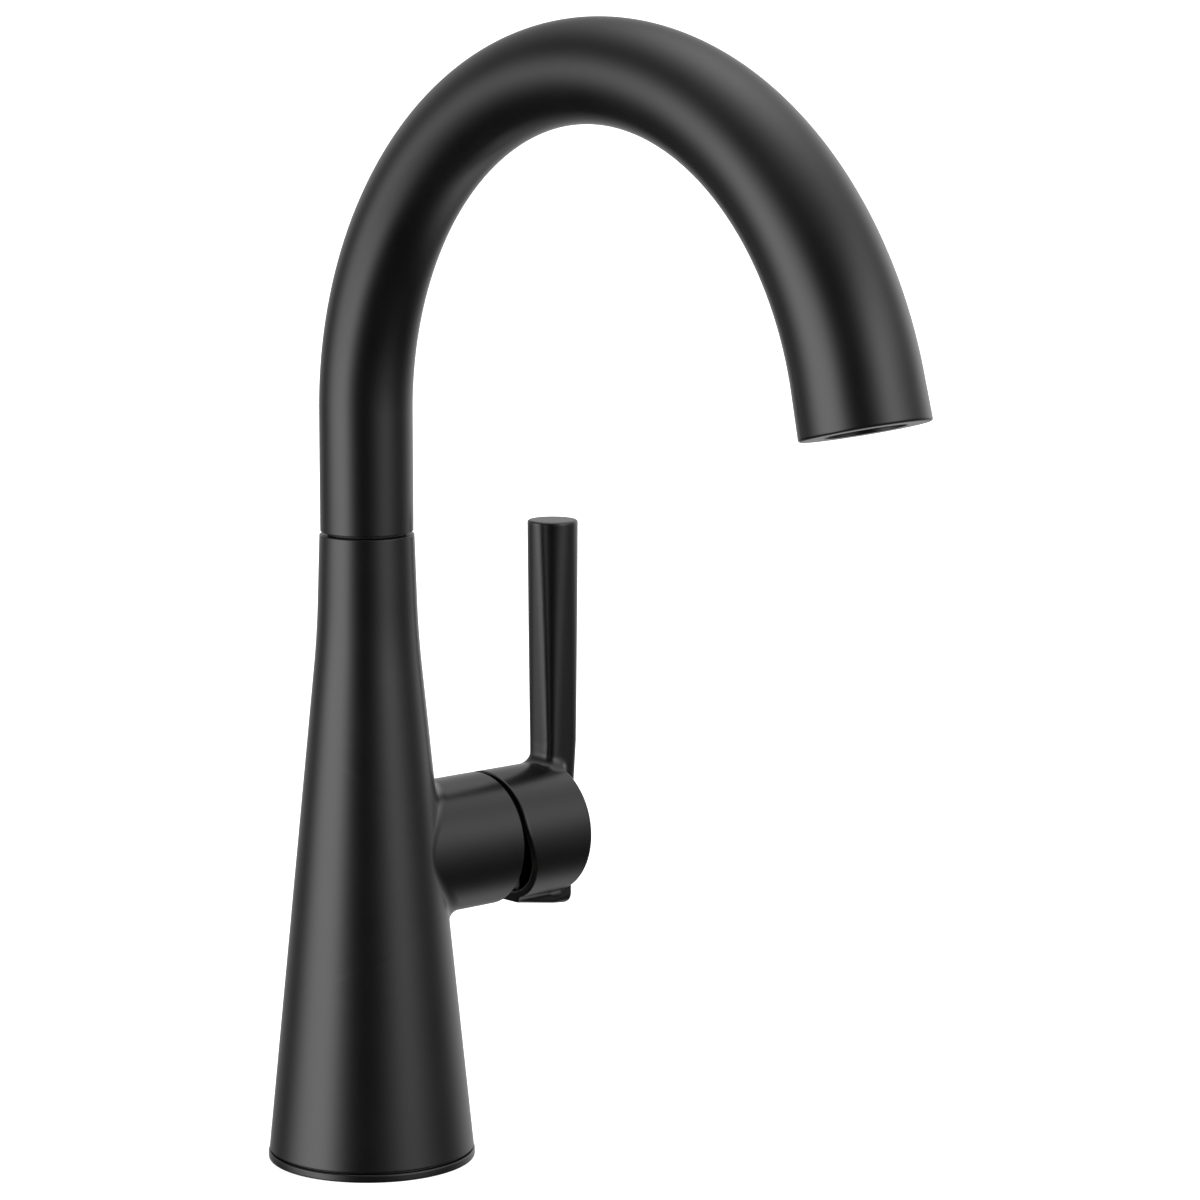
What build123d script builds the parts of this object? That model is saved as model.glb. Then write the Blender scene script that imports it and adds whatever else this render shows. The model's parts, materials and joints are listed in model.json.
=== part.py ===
from build123d import *
import os
from math import cos, radians, sin, tan

os.makedirs("parts", exist_ok=True)

# A single-lever bar faucet with a high swivel spout. Millimetres, +Z up. The column stands on the
# Z axis with the deck at Z = 0, the spout reaches towards -Y, and the lever stands on the +X side.

# Fits, all per side
seat_clearance = 0.05
running_clearance = 0.05
socket_clearance = 0.15

# Base ring and deck gasket
base_radius = 26.0
base_ring_height = 2.0
base_ring_bore = 18.0
base_edge = 0.45
shadow_line_height = 0.4
shadow_line_depth = 0.9
gasket_inner_radius = 19.5
gasket_outer_radius = 24.0
gasket_thickness = 1.2

# Column: a straight cone that blends into a nearly cylindrical neck
column_foot_radius = 25.78
column_wall = 2.6
column_web = 8.0
waist_height = 133.4
waist_radius = 12.61
waist_blend_radius = 250.0
neck_radius = 11.78
neck_length = 25.0
column_edge = 0.3

# Side boss that holds the valve
boss_height = 76.4
boss_radius = 16.95
boss_wall = 1.8
boss_face = 37.0
boss_root_fillet = 5.0

# Fixing under the deck
deck_thickness = 25.0
shank_radius = 14.0
shank_bore = 12.0
shank_drop = 58.0
washer_radius = 24.0
washer_play = 0.3
soft_washer_thickness = 3.0
steel_washer_thickness = 2.0
deck_nut_height = 12.0
deck_nut_across_flats = 38.0
deck_nut_chamfer = 1.0

# Water tubes inside the column
tube_radius = 4.76
tube_wall = 0.9
tube_spacing = 11.2
tube_tail = 14.4
tube_bead_radius = 5.5
tube_bead_length = 1.6
tube_seat_depth = 4.5
mix_tube_reach = 9.6

# Valve body
manifold_radius = 11.0
manifold_back = -6.5
valve_back = 6.0
chamber_floor = 12.0
bonnet_recess = 0.6
bonnet_thickness = 3.4
bonnet_bore = 9.5
bonnet_notch_width = 3.0
bonnet_notch_depth = 1.4
passage_radius = 2.2
passage_feed_radius = 3.0
passage_feed_overrun = 0.6
inlet_port_drop = 4.0
mix_port_rise = 6.0

# Ceramic cartridge
cartridge_radius = 12.5
housing_wall = 1.3
housing_lip = 1.6
housing_mouth = 8.0
cartridge_base_thickness = 3.0
port_seal_radius = 3.4
port_seal_thickness = 1.0
fixed_disc_radius = 10.0
moving_disc_radius = 8.0
disc_thickness = 2.5
disc_gap = 0.02
mixing_pocket_length = 10.0
mixing_pocket_width = 5.0
mixing_pocket_radius = 2.0
mixing_pocket_depth = 1.5
carrier_thickness = 2.5
rail_spacing = 12.0
rail_width = 1.6
rail_length = 8.0
rail_height = 1.2
rotor_gap = 0.3
stem_swing = 2.9
pivot_depth = 9.0
pivot_radius = 1.25
pivot_length = 18.0
lever_tilt = 20.0

# Stem between the disc carrier and the lever
stem_width = 7.0
stem_heel = 3.5
stem_grip = 0.8
stem_end_chamfer = 0.6
stem_ball_radius = 1.5
stem_ball_depth = 0.7
stem_neck_radius = 1.1

# Cap over the cartridge, part of a sphere about the stem's pivot
cap_radius = 16.0
cap_wall = 1.2
cap_mouth = 11.2

# Lever: hub, bar and foot in one casting
hub_gap = 1.3
hub_length = 21.47
hub_wall = 1.96
hub_end_wall = 5.8
rim_break_rise = 4.5
rim_break_radius = 15.0
rim_relief_angle = 18.0
bar_offset = 1.5
bar_tip_rise = 79.7
bar_tip_width = 12.9
bar_tip_corner = 6.4
bar_tip_edge = 0.6
bar_root_rise = 22.2
bar_root_width = 10.3
bar_root_corner = 3.2
bar_root_fillet = 1.8
foot_width = 8.6
foot_corner = 3.0
foot_slope_angle = 9.07
foot_drop = 0.8
foot_reach = 2.83
foot_heel_radius = 0.5
foot_toe_radius = 2.8
socket_radius = 7.5
socket_length = 9.4
web_length = 8.0
set_screw_radius = 2.5
set_screw_length = 9.0
set_screw_inset = 4.7
set_screw_key_width = 2.5
set_screw_key_depth = 3.0

# Spout: straight riser, one round bend, and a flare towards the outlet
spout_radius = 11.55
spout_wall = 2.0
riser_length = 29.55
bend_radius = 86.2
bend_angle = 166.0
outlet_straight = 10.5
outlet_radius = 14.95
outlet_edge = 0.5
flare_start = 0.2
flare_power = 1.5
bend_sections = 14

# Swivel joint of the spout
glide_thickness = 0.8
glide_radius = 10.9
post_radius = 8.0
post_foot_radius = 8.55
post_socket_depth = 18.0
post_bore = 5.5
post_tip = 1.8
bushing_lift = 0.2
bushing_length = 22.0
o_ring_section = 1.4
o_ring_squeeze = 0.03
o_ring_groove_play = 0.2
o_ring_inset = 4.0
clip_thickness = 1.2
clip_radius = 9.2
clip_groove_radius = 7.0
clip_gap = 6.0
neck_passage = 6.5

# Aerator in the outlet
aerator_radius = 9.25
aerator_wall = 1.25
aerator_length = 9.0
aerator_recess = 1.0
aerator_gasket_bore = 5.5
aerator_gasket_thickness = 1.5
outlet_shoulder = 2.5
outlet_waterway = 6.5
regulator_thickness = 3.0
regulator_hole_radius = 0.8
regulator_hole_circle = 5.0
regulator_hole_count = 8
screen_thickness = 2.0
screen_hole_radius = 1.15
screen_pitch = 3.1

# Places worked out from the driving dimensions
column_foot = base_ring_height + shadow_line_height
column_top = waist_height + neck_length
column_slope = (column_foot_radius - waist_radius) / (waist_height - column_foot)
web_top = column_foot + column_web
boss_bore = boss_radius - boss_wall
bonnet_front = boss_face - bonnet_recess
valve_front = bonnet_front - bonnet_thickness
valve_radius = boss_bore - seat_clearance
chamber_radius = cartridge_radius + seat_clearance
fixed_disc_back = chamber_floor + cartridge_base_thickness
moving_disc_back = fixed_disc_back + disc_thickness + disc_gap
carrier_back = moving_disc_back + disc_thickness
carrier_front = carrier_back + carrier_thickness
rotor_back = carrier_front + rotor_gap
rotor_front = valve_front - housing_lip - running_clearance
rotor_radius = cartridge_radius - housing_wall - running_clearance
pivot_x = boss_face - pivot_depth
ball_x = carrier_front - stem_ball_depth
disc_travel = (pivot_x - ball_x) * sin(radians(lever_tilt))
disc_closed_offset = -disc_travel / 2
hub_rim = boss_face + hub_gap
hub_end = hub_rim + hub_length
hub_floor = hub_end - hub_end_wall
socket_front = hub_floor - socket_length
bar_x = hub_end + bar_offset
set_screw_x = hub_floor - set_screw_inset
shank_bottom = -shank_drop
soft_washer_bottom = -deck_thickness - soft_washer_thickness
steel_washer_bottom = soft_washer_bottom - steel_washer_thickness
deck_nut_bottom = steel_washer_bottom - deck_nut_height
tube_socket_radius = tube_radius + seat_clearance
tube_places = [(0, -tube_spacing / 2), (0, tube_spacing / 2)]
spout_bottom = column_top + glide_thickness + running_clearance
spout_bore = spout_radius - spout_wall
bend_start = spout_bottom + riser_length
post_foot = column_top - post_socket_depth
mix_tube_top = post_foot + mix_tube_reach
bushing_bottom = spout_bottom + bushing_lift
bushing_top = bushing_bottom + bushing_length
clip_bottom = bushing_top + running_clearance
post_top = clip_bottom + clip_thickness + post_tip
aerator_depth = aerator_recess + aerator_length + aerator_gasket_thickness
aerator_bore = aerator_radius + seat_clearance

# Planes and axes shared by several pieces
valve_plane = Plane(origin=(0, 0, boss_height), x_dir=(0, 1, 0), z_dir=(1, 0, 0))
valve_section = Plane(origin=(0, 0, boss_height), x_dir=(1, 0, 0), z_dir=(0, -1, 0))
valve_axis = Axis((0, 0, boss_height), (1, 0, 0))
port_places = [(-tube_spacing / 2, -inlet_port_drop), (tube_spacing / 2, -inlet_port_drop), (0, mix_port_rise)]


def column_radius(height):
    """Outer radius of the column's cone at a height."""
    return column_foot_radius - (height - column_foot) * column_slope


def bend_plane(angle, beyond=0.0):
    """Plane across the spout after it has turned by an angle, or that far beyond along the tangent."""
    turn = radians(angle)
    ahead = Vector(0, -sin(turn), cos(turn))
    centre = Vector(0, bend_radius * (cos(turn) - 1), bend_start + bend_radius * sin(turn))
    return Plane(origin=centre + ahead * beyond, x_dir=(1, 0, 0), z_dir=ahead)


def flare_radius(angle, beyond=0.0):
    """Outer radius of the spout along the bend: plain at first, then opening towards the outlet."""
    whole = bend_radius * radians(bend_angle) + outlet_straight
    share = (bend_radius * radians(angle) + beyond) / whole
    opened = max(0.0, (share - flare_start) / (1 - flare_start))
    return spout_radius + (outlet_radius - spout_radius) * opened**flare_power


outlet_plane = bend_plane(bend_angle, outlet_straight)
aerator_plane = outlet_plane.offset(-aerator_recess)


# Turned ring under the column, with a step that leaves a shadow line and a groove for the gasket
with BuildPart() as base_ring:
    with BuildSketch():
        Circle(base_radius)
        Circle(base_ring_bore, mode=Mode.SUBTRACT)
    extrude(amount=base_ring_height)
    with BuildSketch(Plane.XY.offset(base_ring_height)):
        Circle(column_foot_radius - shadow_line_depth)
        Circle(base_ring_bore, mode=Mode.SUBTRACT)
    extrude(amount=shadow_line_height)
    with BuildSketch():
        Circle(gasket_outer_radius)
        Circle(gasket_inner_radius, mode=Mode.SUBTRACT)
    extrude(amount=gasket_thickness, mode=Mode.SUBTRACT)
    outer_rims = base_ring.edges().filter_by(GeomType.CIRCLE).group_by(SortBy.RADIUS)[-1]
    chamfer(outer_rims, length=base_edge)
base_ring.part.label = "base_ring"
export_step(base_ring.part, "parts/base_ring.step")

# Soft ring that seals the base to the deck
with BuildPart() as deck_gasket:
    with BuildSketch():
        Circle(gasket_outer_radius - seat_clearance)
        Circle(gasket_inner_radius + seat_clearance, mode=Mode.SUBTRACT)
    extrude(amount=gasket_thickness)
deck_gasket.part.label = "deck_gasket"
export_step(deck_gasket.part, "parts/deck_gasket.step")

# Column shell with its side boss, hollow, with a threaded web below and a socket for the post above
with BuildPart() as body_shell:
    with BuildSketch(Plane.XZ):
        with BuildLine():
            flank = FilletPolyline(
                (column_foot_radius, column_foot),
                (waist_radius, waist_height),
                (neck_radius, column_top),
                radius=waist_blend_radius,
            )
            Polyline(flank @ 1, (0, column_top), (0, column_foot), flank @ 0)
        make_face()
    revolve(axis=Axis.Z)
    with BuildSketch(valve_plane):
        Circle(boss_radius)
    extrude(amount=boss_face)
    fillet(body_shell.edges().filter_by(GeomType.BSPLINE), radius=boss_root_fillet)
    boss_rim = body_shell.faces().sort_by(Axis.X)[-1].edges()
    neck_rim = body_shell.faces().sort_by(Axis.Z)[-1].edges()
    fillet(boss_rim + neck_rim, radius=column_edge)
    with BuildSketch(Plane.XZ):
        with BuildLine():
            Polyline(
                (0, web_top),
                (column_radius(web_top) - column_wall, web_top),
                (waist_radius - column_wall, waist_height),
                (0, waist_height),
                close=True,
            )
        make_face()
    revolve(axis=Axis.Z, mode=Mode.SUBTRACT)
    with BuildSketch(valve_plane):
        Circle(boss_bore)
    extrude(amount=boss_face, mode=Mode.SUBTRACT)
    with BuildSketch(Plane.XY.offset(column_foot)):
        Circle(shank_radius + seat_clearance)
    extrude(amount=column_web, mode=Mode.SUBTRACT)
    with BuildSketch(Plane.XY.offset(waist_height)):
        Circle(neck_passage)
    extrude(amount=column_top - waist_height, mode=Mode.SUBTRACT)
    with BuildSketch(Plane.XY.offset(post_foot)):
        Circle(post_foot_radius + seat_clearance)
    extrude(amount=post_socket_depth, mode=Mode.SUBTRACT)
body_shell.part.label = "body_shell"
export_step(body_shell.part, "parts/body_shell.step")

# Threaded tube that goes down through the deck
with BuildPart() as mounting_shank:
    with BuildSketch(Plane.XY.offset(shank_bottom)):
        Circle(shank_radius)
        Circle(shank_bore, mode=Mode.SUBTRACT)
    extrude(amount=shank_drop + web_top)
mounting_shank.part.label = "mounting_shank"
export_step(mounting_shank.part, "parts/mounting_shank.step")

# Rubber washer against the underside of the deck
with BuildPart() as soft_washer:
    with BuildSketch(Plane.XY.offset(soft_washer_bottom)):
        Circle(washer_radius)
        Circle(shank_radius + washer_play, mode=Mode.SUBTRACT)
    extrude(amount=soft_washer_thickness)
soft_washer.part.label = "soft_washer"
export_step(soft_washer.part, "parts/soft_washer.step")

# Steel washer under the rubber one
with BuildPart() as steel_washer:
    with BuildSketch(Plane.XY.offset(steel_washer_bottom)):
        Circle(washer_radius)
        Circle(shank_radius + washer_play, mode=Mode.SUBTRACT)
    extrude(amount=steel_washer_thickness)
steel_washer.part.label = "steel_washer"
export_step(steel_washer.part, "parts/steel_washer.step")

# Hexagon nut that clamps the deck
with BuildPart() as deck_nut:
    with BuildSketch(Plane.XY.offset(deck_nut_bottom)):
        RegularPolygon(deck_nut_across_flats / 2, 6, major_radius=False)
    extrude(amount=deck_nut_height)
    with BuildSketch(Plane.XY.offset(deck_nut_bottom)):
        Circle(shank_radius + seat_clearance)
    extrude(amount=deck_nut_height, mode=Mode.SUBTRACT)
    chamfer(deck_nut.faces().sort_by(Axis.Z)[0].outer_wire().edges(), length=deck_nut_chamfer)
deck_nut.part.label = "deck_nut"
export_step(deck_nut.part, "parts/deck_nut.step")

# Brass block with the cartridge chamber, two inlet ports below and the mixed water port above
feed_tip = passage_radius + passage_feed_overrun
with BuildPart() as valve_body:
    with BuildSketch(valve_plane.offset(manifold_back)):
        Circle(manifold_radius)
    extrude(amount=valve_back - manifold_back)
    with BuildSketch(valve_plane.offset(valve_back)):
        Circle(valve_radius)
    extrude(amount=valve_front - valve_back)
    with BuildSketch(valve_plane.offset(chamber_floor)):
        Circle(chamber_radius)
    extrude(amount=valve_front - chamber_floor, mode=Mode.SUBTRACT)
    with BuildSketch(Plane.XY.offset(boss_height - manifold_radius)):
        with Locations(*tube_places):
            Circle(tube_socket_radius)
    extrude(amount=tube_seat_depth, mode=Mode.SUBTRACT)
    with BuildSketch(Plane.XY.offset(boss_height - manifold_radius)):
        with Locations(*tube_places):
            Circle(passage_feed_radius)
    extrude(amount=manifold_radius - inlet_port_drop + feed_tip, mode=Mode.SUBTRACT)
    with BuildSketch(Plane.XY.offset(boss_height + manifold_radius)):
        Circle(tube_socket_radius)
    extrude(amount=-tube_seat_depth, mode=Mode.SUBTRACT)
    with BuildSketch(Plane.XY.offset(boss_height + manifold_radius)):
        Circle(passage_feed_radius)
    extrude(amount=mix_port_rise - manifold_radius - feed_tip, mode=Mode.SUBTRACT)
    with BuildSketch(valve_plane):
        with Locations(*port_places):
            Circle(passage_radius)
    extrude(amount=chamber_floor, mode=Mode.SUBTRACT)
valve_body.part.label = "valve_body"
export_step(valve_body.part, "parts/valve_body.step")

# Hot and cold inlet tubes, from the valve down through the shank to a beaded end for a supply hose
tube_top = boss_height - manifold_radius + tube_seat_depth
bead_bottom = shank_bottom - tube_bead_length
tube_bottom = bead_bottom - tube_tail
for tube_name, tube_place in zip(("cold_inlet_tube", "hot_inlet_tube"), tube_places):
    with BuildPart() as inlet_tube:
        with BuildSketch(Plane.XY.offset(tube_bottom)):
            with Locations(tube_place):
                Circle(tube_radius)
        extrude(amount=tube_top - tube_bottom)
        with BuildSketch(Plane.XY.offset(bead_bottom)):
            with Locations(tube_place):
                Circle(tube_bead_radius)
        extrude(amount=tube_bead_length)
        with BuildSketch(Plane.XY.offset(tube_bottom)):
            with Locations(tube_place):
                Circle(tube_radius - tube_wall)
        extrude(amount=tube_top - tube_bottom, mode=Mode.SUBTRACT)
    inlet_tube.part.label = tube_name
    export_step(inlet_tube.part, f"parts/{tube_name}.step")

# Tube for the mixed water, from the valve up to the spout's post
with BuildPart() as mix_tube:
    with BuildSketch(Plane.XY.offset(boss_height + manifold_radius - tube_seat_depth)):
        Circle(tube_radius)
        Circle(tube_radius - tube_wall, mode=Mode.SUBTRACT)
    extrude(amount=mix_tube_top - boss_height - manifold_radius + tube_seat_depth)
mix_tube.part.label = "mix_tube"
export_step(mix_tube.part, "parts/mix_tube.step")

# Plastic floor of the cartridge with its three ports
with BuildPart() as cartridge_base:
    with BuildSketch(valve_plane.offset(chamber_floor)):
        Circle(cartridge_radius)
        with Locations(*port_places):
            Circle(passage_radius, mode=Mode.SUBTRACT)
    extrude(amount=cartridge_base_thickness)
    with BuildSketch(valve_plane.offset(chamber_floor)):
        with Locations(*port_places):
            Circle(port_seal_radius)
    extrude(amount=port_seal_thickness, mode=Mode.SUBTRACT)
cartridge_base.part.label = "cartridge_base"
export_step(cartridge_base.part, "parts/cartridge_base.step")

# Rubber rings round the three ports, in counterbores of the cartridge floor
with BuildPart() as port_seals:
    with BuildSketch(valve_plane.offset(chamber_floor)):
        with Locations(*port_places):
            Circle(port_seal_radius - seat_clearance)
            Circle(passage_radius, mode=Mode.SUBTRACT)
    extrude(amount=port_seal_thickness)
port_seals.part.label = "port_seals"
export_step(port_seals.part, "parts/port_seals.step")

# Plastic sleeve of the cartridge, with a lip that keeps the rotor in
with BuildPart() as cartridge_housing:
    with BuildSketch(valve_plane.offset(fixed_disc_back)):
        Circle(cartridge_radius)
        Circle(cartridge_radius - housing_wall, mode=Mode.SUBTRACT)
    extrude(amount=valve_front - fixed_disc_back)
    with BuildSketch(valve_plane.offset(valve_front - housing_lip)):
        Circle(cartridge_radius)
        Circle(housing_mouth, mode=Mode.SUBTRACT)
    extrude(amount=housing_lip)
cartridge_housing.part.label = "cartridge_housing"
export_step(cartridge_housing.part, "parts/cartridge_housing.step")

# Ceramic disc that stays, with the three ports through it
with BuildPart() as fixed_disc:
    with BuildSketch(valve_plane.offset(fixed_disc_back)):
        Circle(fixed_disc_radius)
        with Locations(*port_places):
            Circle(passage_radius, mode=Mode.SUBTRACT)
    extrude(amount=disc_thickness)
fixed_disc.part.label = "fixed_disc"
export_step(fixed_disc.part, "parts/fixed_disc.step")

# Ceramic disc that slides and turns, with the mixing pocket in its face
with BuildPart() as moving_disc:
    with BuildSketch(valve_plane.offset(moving_disc_back)):
        with Locations((0, disc_closed_offset)):
            Circle(moving_disc_radius)
    extrude(amount=disc_thickness)
    with BuildSketch(valve_plane.offset(moving_disc_back)):
        with Locations((0, disc_closed_offset)):
            RectangleRounded(mixing_pocket_width, mixing_pocket_length, mixing_pocket_radius)
    extrude(amount=mixing_pocket_depth, mode=Mode.SUBTRACT)
moving_disc.part.label = "moving_disc"
export_step(moving_disc.part, "parts/moving_disc.step")

# Carrier on the back of the moving disc, with two rails and a socket for the stem's ball
with BuildPart() as disc_carrier:
    with BuildSketch(valve_plane.offset(carrier_back)):
        with Locations((0, disc_closed_offset)):
            Circle(moving_disc_radius)
    extrude(amount=carrier_thickness)
    with BuildSketch(valve_plane.offset(carrier_front)):
        with Locations((-rail_spacing / 2, disc_closed_offset), (rail_spacing / 2, disc_closed_offset)):
            Rectangle(rail_width, rail_length)
    extrude(amount=rail_height)
    with BuildSketch(valve_plane.offset(carrier_back)):
        Circle(stem_ball_radius + socket_clearance)
    extrude(amount=carrier_thickness, mode=Mode.SUBTRACT)
disc_carrier.part.label = "disc_carrier"
export_step(disc_carrier.part, "parts/disc_carrier.step")

# Rotor that turns with the lever: grooves for the carrier's rails, and a slot in which the stem tilts
with BuildPart() as cartridge_rotor:
    with BuildSketch(valve_plane.offset(rotor_back)):
        Circle(rotor_radius)
    extrude(amount=rotor_front - rotor_back)
    with BuildSketch(valve_plane.offset(rotor_back)):
        Rectangle(stem_width + 2 * socket_clearance, stem_width + 2 * stem_swing)
    extrude(amount=rotor_front - rotor_back, mode=Mode.SUBTRACT)
    with BuildSketch(valve_plane.offset(rotor_back)):
        with Locations((-rail_spacing / 2, 0), (rail_spacing / 2, 0)):
            Rectangle(rail_width + 2 * socket_clearance, 2 * rotor_radius)
    extrude(amount=rail_height, mode=Mode.SUBTRACT)
    with BuildSketch(Plane.XZ):
        with Locations((pivot_x, boss_height)):
            Circle(pivot_radius + seat_clearance)
    extrude(amount=pivot_length / 2 + seat_clearance, both=True, mode=Mode.SUBTRACT)
cartridge_rotor.part.label = "cartridge_rotor"
export_step(cartridge_rotor.part, "parts/cartridge_rotor.step")

# Steel pin on which the stem tilts
with BuildPart() as pivot_pin:
    with BuildSketch(Plane.XZ):
        with Locations((pivot_x, boss_height)):
            Circle(pivot_radius)
    extrude(amount=pivot_length / 2, both=True)
pivot_pin.part.label = "pivot_pin"
export_step(pivot_pin.part, "parts/pivot_pin.step")

# Square stem with a ball at its inner end
stem_back = pivot_x - stem_heel
stem_front = hub_floor + stem_grip
with BuildPart() as stem:
    with BuildSketch(valve_plane.offset(stem_back)):
        Rectangle(stem_width, stem_width)
    extrude(amount=stem_front - stem_back)
    chamfer(stem.faces().sort_by(Axis.X)[-1].edges(), length=stem_end_chamfer)
    with BuildSketch(valve_plane.offset(ball_x)):
        Circle(stem_neck_radius)
    extrude(amount=stem_back - ball_x)
    with Locations(valve_plane.offset(ball_x)):
        Sphere(stem_ball_radius)
    with BuildSketch(Plane.XZ):
        with Locations((pivot_x, boss_height)):
            Circle(pivot_radius + running_clearance)
    extrude(amount=stem_width / 2, both=True, mode=Mode.SUBTRACT)
stem.part.label = "stem"
export_step(stem.part, "parts/stem.step")

# Notched ring screwed into the boss, which holds the valve body and the cartridge
with BuildPart() as bonnet_nut:
    with BuildSketch(valve_plane.offset(valve_front)):
        Circle(valve_radius)
        Circle(bonnet_bore, mode=Mode.SUBTRACT)
    extrude(amount=bonnet_thickness)
    with BuildSketch(valve_plane.offset(bonnet_front)):
        with PolarLocations(bonnet_bore, 4, start_angle=45):
            Rectangle(2 * bonnet_notch_width, bonnet_notch_width)
    extrude(amount=-bonnet_notch_depth, mode=Mode.SUBTRACT)
bonnet_nut.part.label = "bonnet_nut"
export_step(bonnet_nut.part, "parts/bonnet_nut.step")

# Domed cap on the bonnet nut, a zone of a sphere about the pivot so that the lever clears it
cap_sphere = Plane(origin=(pivot_x, 0, boss_height), x_dir=(1, 0, 0), z_dir=(0, -1, 0))
with BuildPart() as bonnet_cap:
    with BuildSketch(cap_sphere):
        Circle(cap_radius)
        Circle(cap_radius - cap_wall, mode=Mode.SUBTRACT)
        cap_zone_length = cap_radius - (bonnet_front - pivot_x)
        with Locations((bonnet_front - pivot_x, cap_mouth)):
            Rectangle(
                cap_zone_length, cap_radius - cap_mouth, align=(Align.MIN, Align.MIN), mode=Mode.INTERSECT
            )
    revolve(axis=valve_axis)
bonnet_cap.part.label = "bonnet_cap"
export_step(bonnet_cap.part, "parts/bonnet_cap.step")

# Lever casting: a cup-shaped hub over the valve, an upright bar across its end, and a foot below.
# The lower half of the hub's rim is cut back, so that the hub clears the boss when it tilts.
relief_bottom = -boss_radius - bar_root_rise
relief_depth = (rim_break_rise - relief_bottom) * tan(radians(rim_relief_angle))
foot_inner_x = hub_rim + (rim_break_rise + boss_radius) * tan(radians(rim_relief_angle))
foot_outer_x = bar_x + foot_reach
foot_heel_z = -boss_radius - foot_drop
foot_toe_z = foot_heel_z - (foot_outer_x - foot_inner_x) * tan(radians(foot_slope_angle))
web_back = hub_floor - web_length
with BuildPart() as lever:
    with BuildSketch(valve_plane.offset(hub_rim)):
        Circle(boss_radius)
    extrude(amount=hub_length)
    with BuildSketch(Plane(origin=(foot_outer_x - foot_width / 2, 0, boss_height - boss_radius))):
        RectangleRounded(foot_width, foot_width, foot_corner)
    with BuildSketch(Plane(origin=(bar_x, 0, boss_height + bar_root_rise))):
        RectangleRounded(bar_root_width, bar_root_width, bar_root_corner)
    loft()
    with BuildSketch(Plane(origin=(bar_x, 0, boss_height + bar_root_rise))):
        RectangleRounded(bar_root_width, bar_root_width, bar_root_corner)
    with BuildSketch(Plane(origin=(bar_x, 0, boss_height + bar_tip_rise))):
        RectangleRounded(bar_tip_width, bar_tip_width, bar_tip_corner)
    loft()
    root_edges = lever.edges().filter_by(GeomType.BSPLINE).filter_by_position(
        Axis.Z, boss_height + socket_radius, boss_height + boss_radius
    )
    fillet(root_edges, radius=bar_root_fillet)
    fillet(lever.faces().sort_by(Axis.Z)[-1].edges(), radius=bar_tip_edge)
    with BuildSketch(valve_section) as foot_profile:
        with BuildLine():
            FilletPolyline(
                (bar_x, 0),
                (hub_floor, 0),
                (foot_inner_x, foot_heel_z),
                (foot_outer_x, foot_toe_z),
                (foot_outer_x, -boss_radius + foot_heel_radius),
                radius=[foot_heel_radius, foot_heel_radius, foot_toe_radius],
            )
            Line((foot_outer_x, -boss_radius + foot_heel_radius), (bar_x, 0))
        make_face()
    extrude(amount=foot_width / 2, both=True)
    with BuildSketch(valve_plane.offset(hub_rim)):
        Circle(boss_radius - hub_wall)
    extrude(amount=hub_floor - hub_rim, mode=Mode.SUBTRACT)
    with BuildSketch(valve_section):
        with BuildLine():
            FilletPolyline(
                (hub_rim, boss_radius),
                (hub_rim, rim_break_rise),
                (hub_rim + relief_depth, relief_bottom),
                radius=rim_break_radius,
            )
            Polyline(
                (hub_rim + relief_depth, relief_bottom),
                (hub_rim - hub_length, relief_bottom),
                (hub_rim - hub_length, boss_radius),
                (hub_rim, boss_radius),
            )
        make_face()
    extrude(amount=2 * boss_radius, both=True, mode=Mode.SUBTRACT)
    with BuildSketch(valve_plane.offset(socket_front)):
        Circle(socket_radius)
    extrude(amount=socket_length)
    with BuildSketch(valve_section):
        with Locations((hub_floor, 0)):
            Rectangle(web_length, boss_radius - hub_wall / 2, align=(Align.MAX, Align.MAX))
    extrude(amount=foot_width / 2, both=True)
    with BuildSketch(valve_plane.offset(socket_front)):
        Rectangle(stem_width + 2 * seat_clearance, stem_width + 2 * seat_clearance)
    extrude(amount=socket_length + stem_grip + seat_clearance, mode=Mode.SUBTRACT)
    with BuildSketch(Plane.XY.offset(boss_height)):
        with Locations((set_screw_x, 0)):
            Circle(set_screw_radius + seat_clearance)
    extrude(amount=foot_toe_z, mode=Mode.SUBTRACT)
lever.part.label = "lever"
export_step(lever.part, "parts/lever.step")

# Grub screw that clamps the lever on the stem, with a hexagon socket
set_screw_top = boss_height - stem_width / 2 - seat_clearance
with BuildPart() as set_screw:
    with BuildSketch(Plane.XY.offset(set_screw_top)):
        with Locations((set_screw_x, 0)):
            Circle(set_screw_radius)
    extrude(amount=-set_screw_length)
    with BuildSketch(Plane.XY.offset(set_screw_top - set_screw_length)):
        with Locations((set_screw_x, 0)):
            RegularPolygon(set_screw_key_width / 2, 6, major_radius=False)
    extrude(amount=set_screw_key_depth, mode=Mode.SUBTRACT)
set_screw.part.label = "set_screw"
export_step(set_screw.part, "parts/set_screw.step")

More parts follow.
